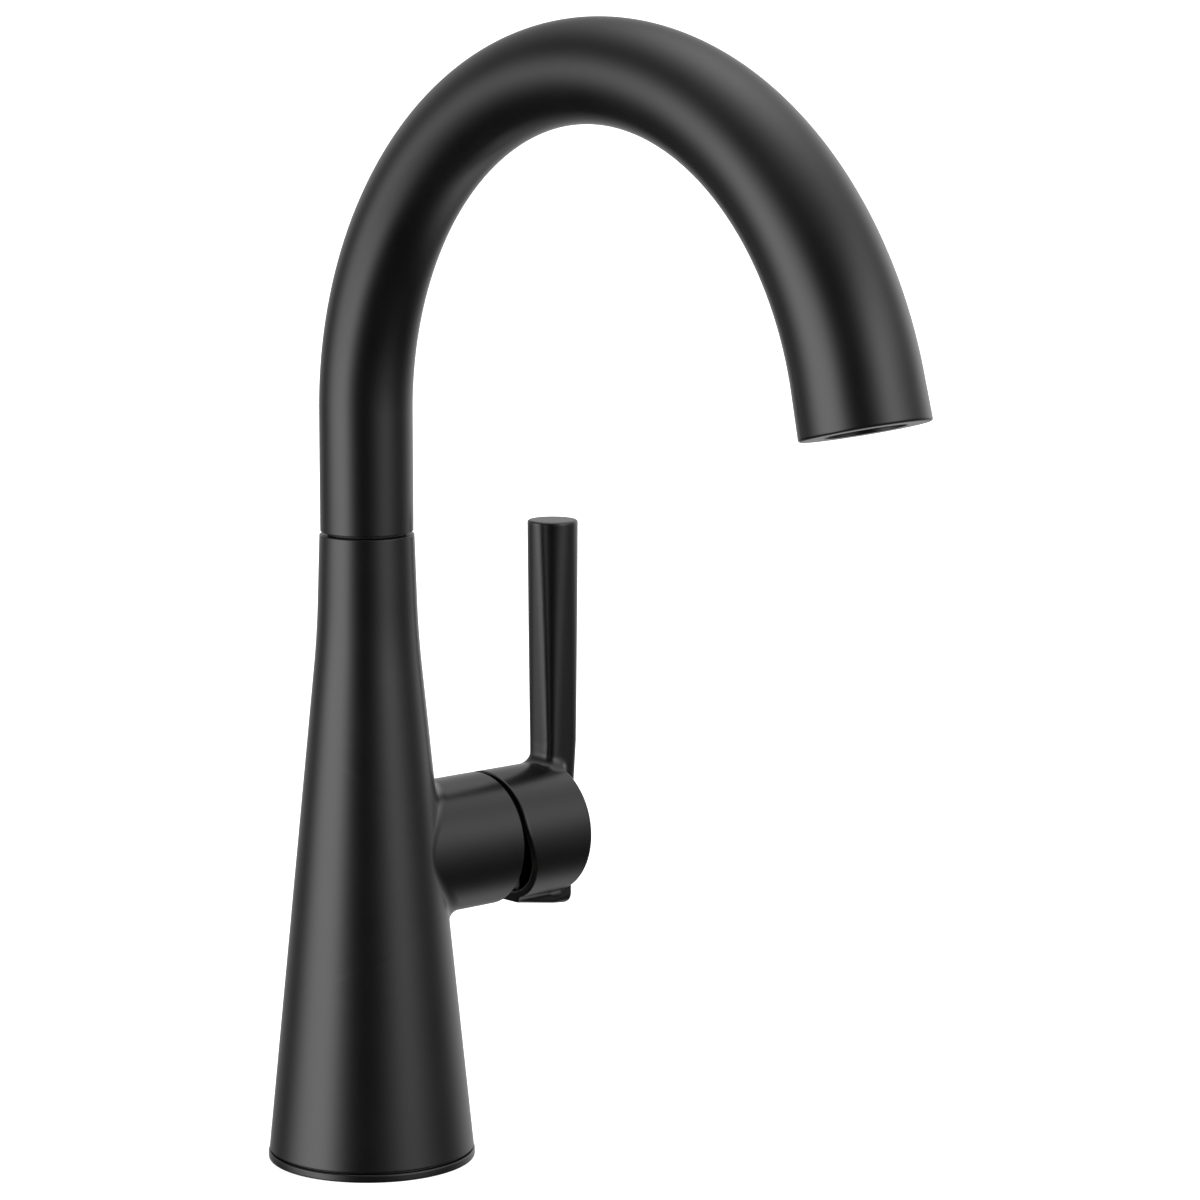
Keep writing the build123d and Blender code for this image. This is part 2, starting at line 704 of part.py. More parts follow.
# Post in the neck on which the spout turns, with grooves for two O-rings and a clip
o_ring_circle = post_radius + o_ring_squeeze - o_ring_section / 2
o_ring_groove_radius = o_ring_circle - o_ring_section / 2 - o_ring_squeeze
o_ring_groove_width = o_ring_section + 2 * o_ring_groove_play
o_ring_heights = [bushing_bottom + o_ring_inset, bushing_top - o_ring_inset]
with BuildPart() as spout_post:
    with BuildSketch(Plane.XY.offset(post_foot)):
        Circle(post_foot_radius)
    extrude(amount=post_socket_depth)
    with BuildSketch(Plane.XY.offset(column_top)):
        Circle(post_radius)
    extrude(amount=post_top - column_top)
    with BuildSketch(Plane.XY.offset(post_foot)):
        Circle(tube_socket_radius)
    extrude(amount=post_top - post_foot, mode=Mode.SUBTRACT)
    with BuildSketch(Plane.XY.offset(mix_tube_top)):
        Circle(post_bore)
    extrude(amount=post_top - mix_tube_top, mode=Mode.SUBTRACT)
    for height in o_ring_heights:
        with BuildSketch(Plane.XY.offset(height - o_ring_groove_width / 2)):
            Circle(post_radius)
            Circle(o_ring_groove_radius, mode=Mode.SUBTRACT)
        extrude(amount=o_ring_groove_width, mode=Mode.SUBTRACT)
    with BuildSketch(Plane.XY.offset(clip_bottom - seat_clearance)):
        Circle(post_radius)
        Circle(clip_groove_radius, mode=Mode.SUBTRACT)
    extrude(amount=clip_thickness + 2 * seat_clearance, mode=Mode.SUBTRACT)
spout_post.part.label = "spout_post"
export_step(spout_post.part, "parts/spout_post.step")

# Two O-rings that seal the post in the spout's bushing
with BuildPart() as post_o_rings:
    for height in o_ring_heights:
        with Locations((0, 0, height)):
            Torus(o_ring_circle, o_ring_section / 2)
post_o_rings.part.label = "post_o_rings"
export_step(post_o_rings.part, "parts/post_o_rings.step")

# Dark plastic ring in the joint between column and spout, on which the spout turns
with BuildPart() as glide_ring:
    with BuildSketch(Plane.XY.offset(column_top)):
        Circle(glide_radius)
        Circle(post_radius + seat_clearance, mode=Mode.SUBTRACT)
    extrude(amount=glide_thickness)
glide_ring.part.label = "glide_ring"
export_step(glide_ring.part, "parts/glide_ring.step")

# Open spring clip in the post's upper groove, which keeps the spout from lifting off
with BuildPart() as spout_clip:
    with BuildSketch(Plane.XY.offset(clip_bottom)):
        Circle(clip_radius)
        Circle(clip_groove_radius + seat_clearance, mode=Mode.SUBTRACT)
        with Locations((0, clip_radius)):
            Rectangle(clip_gap, 2 * (clip_radius - clip_groove_radius) + clip_gap, mode=Mode.SUBTRACT)
    extrude(amount=clip_thickness)
spout_clip.part.label = "spout_clip"
export_step(spout_clip.part, "parts/spout_clip.step")

# Spout: a hollow tube that flares round the bend, with a thick end that takes the aerator
bend_angles = [bend_angle * step / (bend_sections - 1) for step in range(bend_sections)]
outlet_block = aerator_depth + outlet_shoulder
hollow_end_angle = bend_angle - (outlet_block - outlet_straight) / radians(1) / bend_radius
hollow_angles = [hollow_end_angle * step / (bend_sections - 1) for step in range(bend_sections)]
with BuildPart() as spout_tube:
    with BuildSketch(Plane.XY.offset(spout_bottom)):
        Circle(spout_radius)
    extrude(amount=bend_start - spout_bottom)
    fillet(spout_tube.faces().sort_by(Axis.Z)[0].edges(), radius=column_edge)
    for angle in bend_angles:
        with BuildSketch(bend_plane(angle)):
            Circle(flare_radius(angle))
    loft()
    with BuildSketch(bend_plane(bend_angle)):
        Circle(flare_radius(bend_angle))
    with BuildSketch(outlet_plane):
        Circle(outlet_radius)
    loft()
    outlet_rim = spout_tube.edges().filter_by(GeomType.CIRCLE).sort_by_distance(outlet_plane.origin)[0]
    fillet(outlet_rim, radius=outlet_edge)
    with BuildSketch(Plane.XY.offset(spout_bottom)):
        Circle(spout_bore)
    extrude(amount=bend_start - spout_bottom, mode=Mode.SUBTRACT)
    for angle in hollow_angles:
        with BuildSketch(bend_plane(angle)):
            Circle(flare_radius(angle) - spout_wall)
    loft(mode=Mode.SUBTRACT)
    with BuildSketch(outlet_plane):
        Circle(outlet_waterway)
    extrude(amount=-outlet_block - outlet_shoulder, mode=Mode.SUBTRACT)
    with BuildSketch(outlet_plane):
        Circle(aerator_bore)
    extrude(amount=-aerator_depth, mode=Mode.SUBTRACT)
spout_tube.part.label = "spout_tube"
export_step(spout_tube.part, "parts/spout_tube.step")

# Plastic bearing sleeve in the lower end of the spout
with BuildPart() as spout_bushing:
    with BuildSketch(Plane.XY.offset(bushing_bottom)):
        Circle(spout_bore - seat_clearance)
        Circle(post_radius + running_clearance, mode=Mode.SUBTRACT)
    extrude(amount=bushing_length)
spout_bushing.part.label = "spout_bushing"
export_step(spout_bushing.part, "parts/spout_bushing.step")

# Rubber washer behind the aerator
with BuildPart() as aerator_gasket:
    with BuildSketch(outlet_plane.offset(-aerator_depth)):
        Circle(aerator_radius)
        Circle(aerator_gasket_bore, mode=Mode.SUBTRACT)
    extrude(amount=aerator_gasket_thickness)
aerator_gasket.part.label = "aerator_gasket"
export_step(aerator_gasket.part, "parts/aerator_gasket.step")

# Threaded sleeve of the aerator
with BuildPart() as aerator_sleeve:
    with BuildSketch(aerator_plane):
        Circle(aerator_radius)
        Circle(aerator_radius - aerator_wall, mode=Mode.SUBTRACT)
    extrude(amount=-aerator_length)
aerator_sleeve.part.label = "aerator_sleeve"
export_step(aerator_sleeve.part, "parts/aerator_sleeve.step")

# Flow regulator at the inner end of the aerator, a disc with a circle of jets
with BuildPart() as flow_regulator:
    with BuildSketch(aerator_plane.offset(-aerator_length)):
        Circle(aerator_radius - aerator_wall - seat_clearance)
        with PolarLocations(regulator_hole_circle, regulator_hole_count):
            Circle(regulator_hole_radius, mode=Mode.SUBTRACT)
    extrude(amount=regulator_thickness)
flow_regulator.part.label = "flow_regulator"
export_step(flow_regulator.part, "parts/flow_regulator.step")

# Stream former at the mouth of the aerator, a plate with a close pattern of holes
with BuildPart() as stream_former:
    with BuildSketch(aerator_plane):
        Circle(aerator_radius - aerator_wall - seat_clearance)
        Circle(screen_hole_radius, mode=Mode.SUBTRACT)
        with PolarLocations(screen_pitch, 6):
            Circle(screen_hole_radius, mode=Mode.SUBTRACT)
        with PolarLocations(2 * screen_pitch, 12):
            Circle(screen_hole_radius, mode=Mode.SUBTRACT)
    extrude(amount=-screen_thickness)
stream_former.part.label = "stream_former"
export_step(stream_former.part, "parts/stream_former.step")
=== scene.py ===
"""A matte black bar faucet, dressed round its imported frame. Metres, +Z up, the deck at Z = 0."""
import json
from math import atan2, cos, pi, radians, sin, tan

import bmesh
import bpy
import numpy as np
from mathutils import Matrix, Vector

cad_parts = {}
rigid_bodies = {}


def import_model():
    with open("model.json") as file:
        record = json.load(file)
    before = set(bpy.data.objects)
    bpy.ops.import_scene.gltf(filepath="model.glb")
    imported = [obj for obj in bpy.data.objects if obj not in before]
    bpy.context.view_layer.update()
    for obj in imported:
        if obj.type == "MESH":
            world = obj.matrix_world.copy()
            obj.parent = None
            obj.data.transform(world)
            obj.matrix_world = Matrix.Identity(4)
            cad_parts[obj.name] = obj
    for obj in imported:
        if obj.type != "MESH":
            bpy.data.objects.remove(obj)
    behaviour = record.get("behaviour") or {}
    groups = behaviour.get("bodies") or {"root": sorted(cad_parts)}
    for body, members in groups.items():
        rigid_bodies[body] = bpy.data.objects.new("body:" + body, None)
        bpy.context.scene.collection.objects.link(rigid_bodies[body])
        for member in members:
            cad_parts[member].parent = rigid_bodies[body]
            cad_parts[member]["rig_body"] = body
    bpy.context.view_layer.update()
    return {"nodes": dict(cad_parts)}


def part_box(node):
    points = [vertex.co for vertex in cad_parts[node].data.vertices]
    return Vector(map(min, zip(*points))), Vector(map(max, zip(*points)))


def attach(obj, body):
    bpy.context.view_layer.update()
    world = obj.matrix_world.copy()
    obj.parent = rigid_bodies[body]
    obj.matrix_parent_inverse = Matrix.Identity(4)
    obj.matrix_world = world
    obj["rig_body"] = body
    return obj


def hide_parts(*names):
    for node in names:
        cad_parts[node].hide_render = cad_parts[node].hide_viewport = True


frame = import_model()

# Base ring
# A thin turned brass ring that carries the column on the deck, in the same black coat. The column
# sits on a smaller step of it, so that a narrow shadow line runs round between the two.
mm = 0.001


class Field:
    """One output socket of a node tree, used as a value in expressions: + - * add Math nodes."""

    def __init__(self, tree, socket):
        self.tree = tree
        self.socket = socket

    def node(self, kind, settings, sockets, output=0):
        """Adds any node: first its settings, with a ramp's stops, then its sockets' values or links."""
        made = self.tree.nodes.new(kind)
        for name, value in settings.items():
            if name == "stops":
                for stop, (place, shade) in zip(made.color_ramp.elements, value):
                    stop.position = place
                    stop.color = (*shade, 1.0)
            else:
                setattr(made, name, value)
        for name, value in sockets.items():
            if isinstance(value, Field):
                self.tree.links.new(value.socket, made.inputs[name])
            else:
                made.inputs[name].default_value = value
        return Field(self.tree, made.outputs[output])

    def math(self, operation, first, second):
        """Adds a Math node."""
        return self.node("ShaderNodeMath", {"operation": operation}, {0: first, 1: second})

    def __add__(self, other):
        return self.math("ADD", self, other)

    def __sub__(self, other):
        return self.math("SUBTRACT", self, other)

    def __rsub__(self, other):
        return self.math("SUBTRACT", other, self)

    def __mul__(self, other):
        return self.math("MULTIPLY", self, other)

    __radd__ = __add__
    __rmul__ = __mul__

    def noise(self, size, detail=2.0):
        """Cloudy pattern from 0 to 1 with blotches of about this size."""
        return self.node("ShaderNodeTexNoise", {}, {"Vector": self, "Scale": 1 / size, "Detail": detail})

    def tint(self, dark, light, dark_below=0.3, light_above=0.7):
        """Colour that goes from dark to light between two values of the pattern."""
        stops = [(dark_below, dark), (light_above, light)]
        return self.node("ShaderNodeValToRGB", {"stops": stops}, {"Fac": self})


def finish(name, constants, pattern):
    """Material on a Principled shader: constants on its own sockets, then what pattern(place) gives for the
    sockets that vary over the surface."""
    material = bpy.data.materials.new(name)
    material.use_nodes = True
    tree = material.node_tree
    shader = tree.nodes["Principled BSDF"]
    for socket, value in constants.items():
        shader.inputs[socket].default_value = value
    place = Field(tree, tree.nodes.new("ShaderNodeTexCoord").outputs["Object"])
    for socket, field in pattern(place).items():
        tree.links.new(field.socket, shader.inputs[socket])
    return material


def relief(height, depth):
    """Normal of a surface whose height field, from 0 to 1, is this deep."""
    return height.node("ShaderNodeBump", {}, {"Height": height, "Distance": depth, "Strength": 1.0})


def coat(place):
    """Sprayed and baked black coat: a fine even grain, and slow drifts in sheen and shade."""
    grain = place.noise(0.22 * mm, 2.0)
    drift = place.noise(14 * mm, 3.0)
    return {
        "Base Color": drift.tint((0.0022, 0.0022, 0.0023), (0.0032, 0.0032, 0.0034)),
        "Roughness": 0.26 + 0.03 * drift + 0.02 * grain,
        "Normal": relief(grain, 0.0004 * mm),
    }


black_coat = finish("black_coat", {"IOR": 1.5}, coat)
arc_points = 7


def swung(start, end, sweep, share):
    """Arm of an arc, swung by a share of the sweep from its start to its end. The start is weighted by the
    sine of the angle that is left and the end by the sine of the angle that is done, both over the sine of
    the whole sweep."""
    return (np.sin((1 - share) * sweep) * start + np.sin(share * sweep) * end) / np.sin(sweep)


def outline(corners, radii, guard_share=0.45):
    """Closed outline whose corners are rounded by one radius, or each by its own: at each corner a circle
    touches both sides, and the arc between its two touching points replaces the corner. A point is added on
    each side, one radius away from the arc or closer on a short side, so that flat sides are shaded flat."""
    corners = np.array(corners, float)
    radii = np.broadcast_to(np.array(radii, float), len(corners))[:, None]
    sides = np.stack([np.roll(corners, 1, axis=0) - corners, np.roll(corners, -1, axis=0) - corners])
    lengths = np.linalg.norm(sides, axis=-1, keepdims=True)
    before, after = sides / lengths
    half = np.arccos(np.clip((before * after).sum(axis=1, keepdims=True), -1, 1)) / 2
    middle = before + after
    middle /= np.linalg.norm(middle, axis=1, keepdims=True)
    centres = corners + middle * radii / np.sin(half)
    reach = radii / np.tan(half)
    guard = np.minimum(reach + radii, guard_share * lengths.min(axis=0))
    start = corners + before * reach - centres
    end = corners + after * reach - centres
    sweep = (pi - 2 * half)[:, None]
    share = np.linspace(0, 1, arc_points)[None, :, None]
    arcs = centres[:, None] + swung(start[:, None], end[:, None], sweep, share)
    guard_before = (corners + before * guard)[:, None]
    guard_after = (corners + after * guard)[:, None]
    return np.concatenate([guard_before, arcs, guard_after], axis=1).reshape(-1, 2)


def turned(profile, turns=160):
    """Surface of revolution: every point (radius, height) of a profile is carried once round the Z axis."""
    angle = np.linspace(0, 2 * pi, turns + 1)
    radius, height = profile.T[..., None]
    return np.stack(np.broadcast_arrays(radius * np.cos(angle), radius * np.sin(angle), height), axis=-1)


def closed(profile):
    """The same profile with its first point repeated at its end."""
    return np.concatenate([profile, profile[:1]])


def woven(grid):
    """Points and faces of a grid: each four neighbouring points make one face."""
    rows, columns = grid.shape[:2]
    index = np.arange(rows * columns).reshape(rows, columns)
    faces = np.stack([index[:-1, :-1], index[1:, :-1], index[1:, 1:], index[:-1, 1:]], axis=-1)
    return grid.reshape(-1, 3), faces.reshape(-1, 4)


weld_distance = 0.0005 * mm


def add_piece(name, skins, material, node, sharp_angle=38.0):
    """One mesh from several skins of points and faces, with coinciding points merged so that seams and poles
    close, and edges left sharp past an angle in degrees. It rides on the body of the node it replaces."""
    counts = np.cumsum([0] + [len(points) for points, faces in skins])
    mesh = bpy.data.meshes.new(name)
    mesh.from_pydata(
        np.concatenate([points for points, faces in skins]),
        [],
        np.concatenate([faces + count for (points, faces), count in zip(skins, counts)]),
    )
    model = bmesh.new()
    model.from_mesh(mesh)
    bmesh.ops.remove_doubles(model, verts=model.verts, dist=weld_distance)
    bmesh.ops.recalc_face_normals(model, faces=model.faces)
    model.to_mesh(mesh)
    model.free()
    mesh.shade_smooth()
    mesh.set_sharp_from_angle(angle=radians(sharp_angle))
    mesh.materials.append(material)
    piece = bpy.data.objects.new(name, mesh)
    bpy.context.scene.collection.objects.link(piece)
    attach(piece, frame["nodes"][node]["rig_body"])
    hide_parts(node)


ring_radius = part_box("base_ring")[1].x
step_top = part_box("base_ring")[1].z
shadow_line_depth = 1.12 * mm
shadow_line_height = 0.4 * mm
ring_bore = 18.0 * mm
ring_edge = 0.4 * mm
ring_inner_edge = 0.1 * mm
gasket_groove = np.array([19.5, 24.0]) * mm
gasket_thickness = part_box("deck_gasket")[1].z
step_radius = ring_radius - shadow_line_depth
ring_top = step_top - shadow_line_height
ring_outline = outline(
    [
        (ring_bore, 0),
        (ring_bore, step_top),
        (step_radius, step_top),
        (step_radius, ring_top),
        (ring_radius, ring_top),
        (ring_radius, 0),
        (gasket_groove[1], 0),
        (gasket_groove[1], gasket_thickness),
        (gasket_groove[0], gasket_thickness),
        (gasket_groove[0], 0),
    ],
    [ring_inner_edge] * 4 + [ring_edge] * 2 + [ring_inner_edge] * 4,
)
add_piece("base_ring_skin", [woven(turned(closed(ring_outline)))], black_coat, "base_ring")

# Deck gasket
# A flat ring of black rubber, punched from sheet and pressed into the groove under the base ring. It seals
# the hole in the deck.


def rubber_finish(place):
    """Moulded rubber: a fine open grain with a dusty bloom in patches."""
    grain = place.noise(0.12 * mm, 4.0)
    bloom = place.noise(5 * mm, 3.0)
    return {
        "Base Color": bloom.tint((0.011, 0.011, 0.011), (0.024, 0.024, 0.025)),
        "Roughness": 0.62 + 0.14 * bloom + 0.08 * grain,
        "Normal": relief(grain, 0.012 * mm),
    }


rubber = finish("rubber", {"Specular IOR Level": 0.4}, rubber_finish)


def flat_ring(node, bore, edge, set_back=0.0):
    """Flat ring that fills a node's box, or stays back from its outside, with a round hole and rounded
    edges: a rectangle carried round the Z axis."""
    low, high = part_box(node)
    radius = high.x - set_back
    corners = [(bore, low.z), (bore, high.z), (radius, high.z), (radius, low.z)]
    return turned(closed(outline(corners, edge)))


gasket_bore = 19.55 * mm
gasket_edge = 0.2 * mm
gasket_skin = woven(flat_ring("deck_gasket", gasket_bore, gasket_edge))
add_piece("deck_gasket_skin", [gasket_skin], rubber, "deck_gasket")

# Column
# A hollow brass casting: a long cone with a nearly straight neck and a round boss on its side, blended by a
# fillet. It is ground smooth, coated black, and screwed down on the shank by a web inside its foot.
column_low, column_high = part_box("body_shell")
bonnet_low, bonnet_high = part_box("bonnet_nut")
column_foot = column_low.z
column_top = column_high.z
foot_radius = column_high.y
boss_height = (bonnet_low.z + bonnet_high.z) / 2
boss_face_cut = 0.4 * mm
boss_face = column_high.x - boss_face_cut
waist_height = 133.4 * mm
waist_radius = 12.61 * mm
waist_blend = 250 * mm
neck_radius = 11.78 * mm
neck_edge = 0.15 * mm
foot_edge = 0.3 * mm
column_wall = 2.6 * mm
web_thickness = 8.0 * mm
web_top = column_foot + web_thickness
web_bore = 14.05 * mm
passage_radius = 6.5 * mm
socket_radius = 8.6 * mm
socket_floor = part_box("spout_post")[0].z
boss_radius = 16.95 * mm
boss_bore = 15.15 * mm
boss_fillet = 5.0 * mm
boss_edge = 0.12 * mm
column_slope = (foot_radius - waist_radius) / (waist_height - column_foot)
column_lean = atan2(column_slope, 1)
band_reach = 31 * mm
band_low = boss_height - band_reach
band_high = boss_height + band_reach
column_turns = 192
band_rows = 36
lower_cone_points = 16
upper_cone_points = 12
waist_points = 24
fillet_steps = 12
outer_band_steps = 36
inner_band_steps = 20
points_per_corner = arc_points + 2


def cone_radius(height, depth=0.0):
    """Radius of the column's cone at a height, or of its inner wall at a depth below the outside."""
    return foot_radius - (height - column_foot) * column_slope - depth


def waist_curve():
    """Outside of the column from the cone to the neck: the arc of a large circle that touches both."""
    turn = column_lean - atan2(waist_radius - neck_radius, column_top - waist_height)
    reach = waist_blend * tan(turn / 2)
    start = Vector((waist_radius + reach * sin(column_lean), waist_height - reach * cos(column_lean)))
    lean = column_lean - np.linspace(0, turn, waist_points)
    across = start.x + waist_blend * (cos(column_lean) - np.cos(lean))
    along = start.y + waist_blend * (sin(column_lean) - np.sin(lean))
    return np.stack([across, along], axis=1)


waist = waist_curve()
foot_corner = outline(
    [
        (cone_radius(web_top, column_wall), band_low),
        (cone_radius(web_top, column_wall), web_top),
        (web_bore, web_top),
        (web_bore, column_foot),
        (foot_radius, column_foot),
        (cone_radius(band_low), band_low),
    ],
    foot_edge,
)[2 * points_per_corner : 5 * points_per_corner]
lower_profile = np.concatenate(
    [
        [(cone_radius(band_low, column_wall), band_low)],
        [(cone_radius(web_top, column_wall), web_top)],
        foot_corner,
        np.linspace(foot_corner[-1], (cone_radius(band_low), band_low), lower_cone_points)[1:],
    ]
)
neck_corner = outline(
    [
        tuple(waist[-1]),
        (neck_radius, column_top),
        (socket_radius, column_top),
        (socket_radius, socket_floor),
        (passage_radius, socket_floor),
        (passage_radius, waist_height),
    ],
    neck_edge,
)[points_per_corner : 3 * points_per_corner]
upper_profile = np.concatenate(
    [
        np.linspace((cone_radius(band_high), band_high), waist[0], upper_cone_points)[:-1],
        waist,
        neck_corner,
        [
            (socket_radius, socket_floor),
            (passage_radius, socket_floor),
            (passage_radius, waist_height),
            (waist_radius - column_wall, waist_height),
            (cone_radius(band_high, column_wall), band_high),
        ],
    ]
)


def band_border():
    """Border of the band that holds the boss, unrolled to (angle, height), once round from its lower left
    corner, and the direction in which each of its points lies as seen from the boss's axis."""
    across = np.linspace(-pi, pi, column_turns + 1)
    up = np.linspace(band_low, band_high, band_rows + 1)
    angle = np.concatenate([across, np.full(band_rows, pi), across[::-1][1:], np.full(band_rows, -pi)])
    bottom = np.full(column_turns + 1, band_low)
    top = np.full(column_turns, band_high)
    height = np.concatenate([bottom, up[1:], top, up[::-1][1:]])
    sight = np.arctan2(height - boss_height, angle * cone_radius(boss_height))
    return angle, height, sight


def band_with_hole(border, hole, depth, steps):
    """Part of the cone between a border and the edge of a hole: straight lines in the unrolled cone lead
    from the edge of the hole to the border, with points crowded at both ends."""
    share = (1 - np.cos(np.linspace(0, pi, steps)))[:, None] / 2
    hole_angle = np.arctan2(hole[:, 1], hole[:, 0])
    angle = hole_angle + share * (border[0] - hole_angle)
    height = hole[:, 2] + share * (border[1] - hole[:, 2])
    radius = cone_radius(height, depth)
    return np.stack([radius * np.cos(angle), radius * np.sin(angle), height], axis=-1)


def rolling_ball(sight):
    """Fillet between cone and boss, the path of a ball that rolls in the corner: its centre lies one ball
    radius outside both, and the fillet is the arc between its two touching points, from cone to boss."""
    across = (boss_radius + boss_fillet) * np.cos(sight)
    height = boss_height + (boss_radius + boss_fillet) * np.sin(sight)
    reach = np.sqrt((cone_radius(height) + boss_fillet / cos(column_lean)) ** 2 - across**2)
    centre = np.stack([reach, across, height], axis=1)
    flat = centre * [1, 1, 0]
    flat /= np.linalg.norm(flat, axis=1, keepdims=True)
    to_cone = -(flat * cos(column_lean) + [0, 0, sin(column_lean)])
    to_boss = -np.stack([0 * sight, np.cos(sight), np.sin(sight)], axis=1)
    sweep = np.arccos((to_cone * to_boss).sum(axis=1))[:, None]
    share = np.linspace(0, 1, fillet_steps)[:, None, None]
    return centre + boss_fillet * swung(to_cone, to_boss, sweep, share)


def boss_rings(sight, first, last, profile):
    """Boss as rings round its axis: it starts at one curve, follows a profile (radius, place along the
    axis), and ends at another curve."""
    radius, place = profile.T[..., None]
    rings = np.stack(
        np.broadcast_arrays(place, radius * np.cos(sight), boss_height + radius * np.sin(sight)), axis=-1
    )
    return np.concatenate([first[None], rings, last[None]])


border_angle, border_height, boss_sight = band_border()
border = (border_angle, border_height)
fillet_skin = rolling_ball(boss_sight)
bore_height = boss_height + boss_bore * np.sin(boss_sight)
bore_across = boss_bore * np.cos(boss_sight)
bore_reach = np.sqrt(cone_radius(bore_height, column_wall) ** 2 - bore_across**2)
bore_curve = np.stack([bore_reach, bore_across, bore_height], axis=1)
boss_back = float(fillet_skin[-1][:, 0].max())
rim_corner = outline(
    [(boss_radius, boss_back), (boss_radius, boss_face), (boss_bore, boss_face), (boss_bore, boss_back)],
    boss_edge,
)[points_per_corner : 3 * points_per_corner]
column_skins = [
    woven(turned(lower_profile, column_turns)[:, ::-1]),
    woven(turned(upper_profile, column_turns)),
    woven(band_with_hole(border, fillet_skin[0], 0, outer_band_steps)),
    woven(band_with_hole(border, bore_curve, column_wall, inner_band_steps)),
    woven(fillet_skin),
    woven(boss_rings(boss_sight, fillet_skin[-1], bore_curve, rim_corner)),
]
add_piece("column_skin", column_skins, black_coat, "body_shell")

# Fixing under the deck
# A brass shank with a fine thread comes down through the deck. A rubber washer, a steel washer and a hexagon
# nut on the thread clamp the faucet from below.
tool_feed = 0.35 * mm


def machined_brass(place):
    """Turned brass: faint tool rings up the axis, and a brown tarnish in soft patches."""
    height = place.node("ShaderNodeSeparateXYZ", {}, {"Vector": place}, output=2)
    rings = height.math("SINE", height * (2 * pi / tool_feed), 0.0)
    tarnish = place.noise(9 * mm, 4.0)
    return {
        "Base Color": tarnish.tint((0.46, 0.29, 0.10), (0.72, 0.52, 0.23)),
        "Roughness": 0.24 + 0.14 * tarnish,
        "Normal": relief(0.5 + 0.5 * rings, 0.0025 * mm),
    }


brass = finish("brass", {"Metallic": 1.0}, machined_brass)


def rolled_steel(place):
    """Stainless steel with a brushed grain: a noise pulled out along one direction."""
    stretched = place.node("ShaderNodeMapping", {}, {"Vector": place, "Scale": (1.0, 14.0, 14.0)})
    grain = stretched.noise(1.2 * mm, 3.0)
    return {
        "Base Color": grain.tint((0.42, 0.42, 0.43), (0.60, 0.60, 0.61)),
        "Roughness": 0.26 + 0.16 * grain,
        "Normal": relief(grain, 0.004 * mm),
    }


steel = finish("steel", {"Metallic": 1.0}, rolled_steel)

shank_low, shank_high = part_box("mounting_shank")
shank_radius = shank_high.x
shank_bottom = shank_low.z
shank_top = shank_high.z
shank_bore = 12.0 * mm
thread_pitch = 1.5 * mm
thread_depth = 0.75 * mm
thread_flat = 0.15
thread_lead = 2.0 * mm
thread_end_share = 0.25
thread_steps_per_pitch = 10
shank_turns = 96


def threaded():
    """Thread of the shank: its radius falls from crest to root and back as a triangle wave of height / pitch
    less angle / full turn, flattened at crest and root. At both ends it fades to a share of its depth."""
    count = int(thread_steps_per_pitch * (shank_top - shank_bottom) / thread_pitch)
    height = np.linspace(shank_bottom, shank_top, count)[:, None]
    angle = np.linspace(0, 2 * pi, shank_turns + 1)
    wave = np.abs(2 * ((height / thread_pitch - angle / (2 * pi)) % 1) - 1)
    cut = np.clip((1 + 2 * thread_flat) * wave - thread_flat, 0, 1)
    from_end = np.minimum(height - shank_bottom, shank_top - height)
    fade = np.clip(from_end / thread_lead, thread_end_share, 1)
    radius = shank_radius - thread_depth * cut * fade
    return np.stack([radius * np.cos(angle), radius * np.sin(angle), height + 0 * angle], axis=-1)


thread_skin = threaded()
shank_bore_skin = turned(np.array([(shank_bore, shank_top), (shank_bore, shank_bottom)]), shank_turns)
shank_skins = [
    woven(thread_skin),
    woven(np.stack([thread_skin[-1], shank_bore_skin[0]])),
    woven(shank_bore_skin),
    woven(np.stack([shank_bore_skin[-1], thread_skin[0]])),
]
add_piece("shank_skin", shank_skins, brass, "mounting_shank")

washer_bore = 14.3 * mm
soft_washer_edge = 0.5 * mm
steel_washer_edge = 0.25 * mm
soft_washer_skin = woven(flat_ring("soft_washer", washer_bore, soft_washer_edge))
add_piece("soft_washer_skin", [soft_washer_skin], rubber, "soft_washer")
steel_washer_skin = woven(flat_ring("steel_washer", washer_bore, steel_washer_edge))
add_piece("steel_washer_skin", [steel_washer_skin], steel, "steel_washer")

nut_low, nut_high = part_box("deck_nut")
nut_half_flats = nut_high.y
nut_bore = 14.05 * mm
nut_chamfer_angle = radians(30)
nut_round = 0.5 * mm
nut_round_power = 8
nut_bore_chamfer = 0.8 * mm
nut_turns = 240
nut_rows = 49
half_flat = pi / 6


def hexagon():
    """Hexagon nut: its radius is half the width over flats divided by the cosine of the angle to the nearest
    flat, less a power of that angle that rounds the corners. A cone cuts the corners at both ends."""
    angle = np.linspace(0, 2 * pi, nut_turns + 1)
    to_flat = angle % (2 * half_flat) - half_flat
    corner_loss = nut_round * (np.abs(to_flat) / half_flat) ** nut_round_power
    hexagon_radius = nut_half_flats / np.cos(to_flat) - corner_loss
    height = np.linspace(nut_low.z, nut_high.z, nut_rows)[:, None]
    from_end = np.minimum(height - nut_low.z, nut_high.z - height)
    cone = nut_half_flats + from_end / tan(nut_chamfer_angle) - nut_round
    radius = np.minimum(hexagon_radius, cone)
    bore = np.array([(nut_bore + nut_bore_chamfer, 0), (nut_bore, nut_bore_chamfer)])
    side = np.stack([radius * np.cos(angle), radius * np.sin(angle), height + 0 * angle], axis=-1)
    top = turned(bore * [1, -1] + [0, nut_high.z], nut_turns)
    bottom = turned(bore[::-1] + [0, nut_low.z], nut_turns)
    return np.concatenate([side, top, bottom, side[:1]])


add_piece("deck_nut_skin", [woven(hexagon())], brass, "deck_nut", sharp_angle=20.0)

